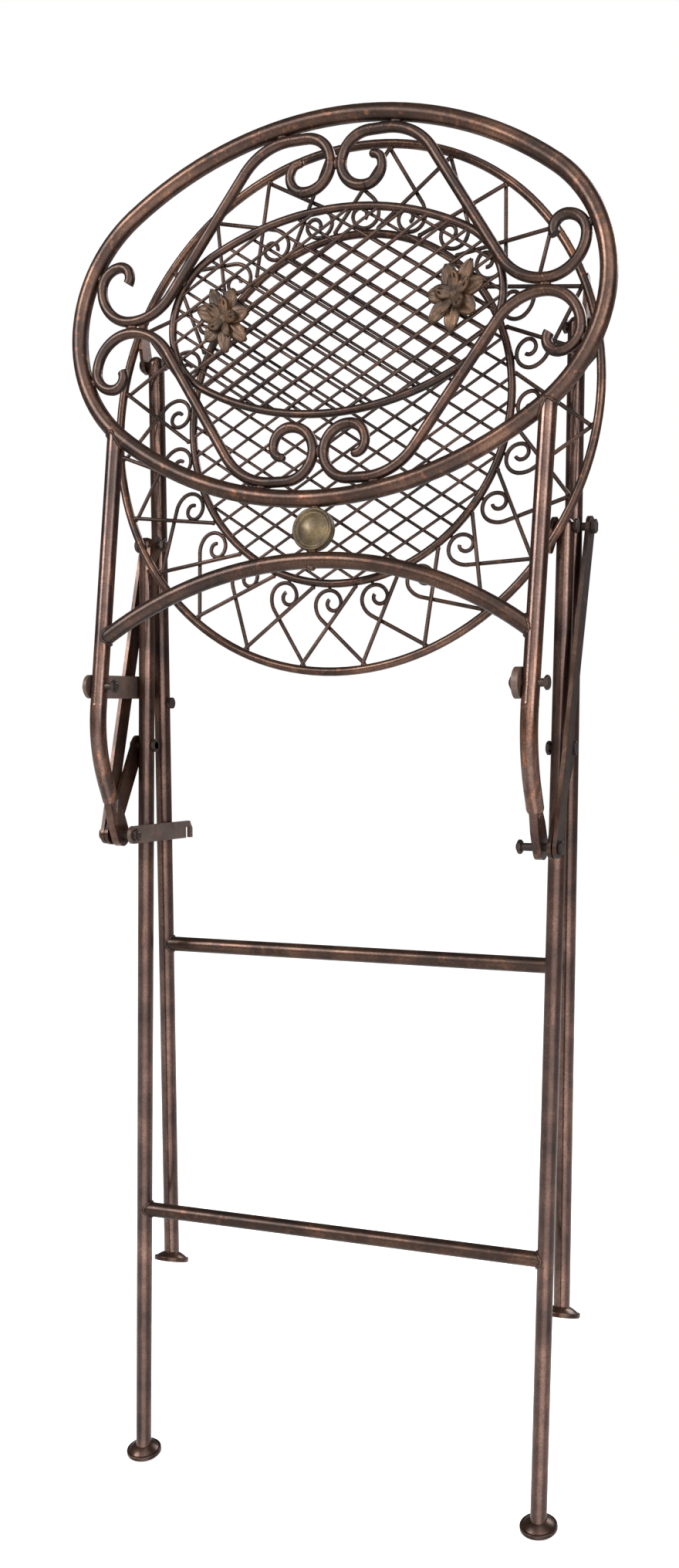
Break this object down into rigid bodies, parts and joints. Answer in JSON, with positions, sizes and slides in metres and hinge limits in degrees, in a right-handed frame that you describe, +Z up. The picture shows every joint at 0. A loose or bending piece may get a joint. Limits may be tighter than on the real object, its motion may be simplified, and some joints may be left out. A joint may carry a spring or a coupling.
{
  "type": "folding bar chair",
  "caption": "Tall folding garden chair in wrought iron: round mesh seat with scroll border, oval scrolled back, hinged legs with footrest and a folding side linkage.",
  "frame": {"origin": "on the floor, in the middle of the folded chair's width and depth", "axes": "+X across the chair, towards its right side as pictured; +Y from the back's face that the picture shows towards the front legs; +Z up"},
  "size_m": [0.4338, 0.1417, 1.0562],
  "materials": {
    "powder_coat_brown": "worn satin",
    "powder_coat_dark": "worn satin",
    "rust_brown_steel": "matt, rusted",
    "dark_fasteners": "matt",
    "antique_bronze_cast": "worn satin"
  },
  "bodies": {
    "rear_legs": {"rear_leg_left": "powder_coat_brown", "rear_leg_right": "powder_coat_brown", "rear_rung": "powder_coat_dark", "rear_foot_left": "powder_coat_dark", "rear_foot_right": "powder_coat_dark", "seat_pivot_bolts": "dark_fasteners", "link_bolts": "dark_fasteners"},
    "seat": {"seat_outer_ring": "powder_coat_brown", "seat_inner_ring": "powder_coat_dark", "seat_mesh": "powder_coat_dark", "seat_scrolls": "powder_coat_dark", "seat_lug_rear_left": "powder_coat_brown", "seat_lug_rear_right": "powder_coat_brown", "seat_lug_front_left": "powder_coat_brown", "seat_lug_front_right": "powder_coat_brown"},
    "front_legs": {"front_leg_left": "powder_coat_brown", "front_leg_right": "powder_coat_brown", "footrest": "powder_coat_dark", "front_foot_left": "powder_coat_dark", "front_foot_right": "powder_coat_dark", "catch_stud": "dark_fasteners", "front_pivot_bolts": "dark_fasteners"},
    "short_links": {"short_link_left": "powder_coat_dark", "short_link_right": "powder_coat_dark", "lower_pivot_bolts": "dark_fasteners"},
    "back": {"back_hoop": "powder_coat_brown", "back_inner_oval": "powder_coat_dark", "back_mesh": "powder_coat_dark", "back_scroll_top_left": "powder_coat_dark", "back_scroll_top_right": "powder_coat_dark", "back_scroll_bottom_left": "powder_coat_dark", "back_scroll_bottom_right": "powder_coat_dark", "cast_leaf_left": "antique_bronze_cast", "cast_leaf_right": "antique_bronze_cast", "back_upright_left": "powder_coat_brown", "back_upright_right": "powder_coat_brown", "back_arch": "powder_coat_dark", "back_medallion": "antique_bronze_cast", "upright_bolts": "dark_fasteners", "upright_collar_right": "rust_brown_steel"},
    "side_braces": {"side_brace_left": "powder_coat_dark", "side_brace_right": "powder_coat_dark", "brace_bolts": "dark_fasteners"},
    "folding_stay": {"folding_stay": "rust_brown_steel"},
    "locking_hook": {"locking_hook": "rust_brown_steel"}
  },
  "joints": [
    {"name": "seat_fold", "type": "hinge", "parent": "rear_legs", "child": "seat", "pos_m": [0, 0.00924, 0.752], "axis": [-1, 0, 0], "range_deg": [0, 67.8]},
    {"name": "front_leg_swing", "type": "hinge", "parent": "seat", "child": "front_legs", "pos_m": [0, 0.02225, 0.89501], "axis": [1, 0, 0], "range_deg": [0, 96.55]},
    {"name": "link_swing", "type": "hinge", "parent": "rear_legs", "child": "short_links", "pos_m": [0, 0.00924, 0.594], "axis": [-1, 0, 0], "range_deg": [0, 130.67]},
    {"name": "back_swing", "type": "hinge", "parent": "short_links", "child": "back", "pos_m": [0, -0.03077, 0.523], "axis": [1, 0, 0], "range_deg": [0, 162.27]},
    {"name": "brace_swing", "type": "hinge", "parent": "short_links", "child": "side_braces", "pos_m": [0, -0.03077, 0.523], "axis": [1, 0, 0], "range_deg": [0, 55.75]},
    {"name": "stay_swing", "type": "hinge", "parent": "back", "child": "folding_stay", "pos_m": [0, -0.06159, 0.637], "axis": [1, 0, 0], "range_deg": [0, 45]},
    {"name": "hook_swing", "type": "hinge", "parent": "short_links", "child": "locking_hook", "pos_m": [0, -0.03077, 0.523], "axis": [1, 0, 0], "range_deg": [-10, 200]}
  ],
  "couplings": [
    {"joint": "front_leg_swing", "follows": "seat_fold", "ratio": 1.4239},
    {"joint": "link_swing", "follows": "seat_fold", "ratio": 1.9271},
    {"joint": "back_swing", "follows": "seat_fold", "ratio": 2.3932},
    {"joint": "brace_swing", "follows": "seat_fold", "ratio": 0.8221}
  ]
}
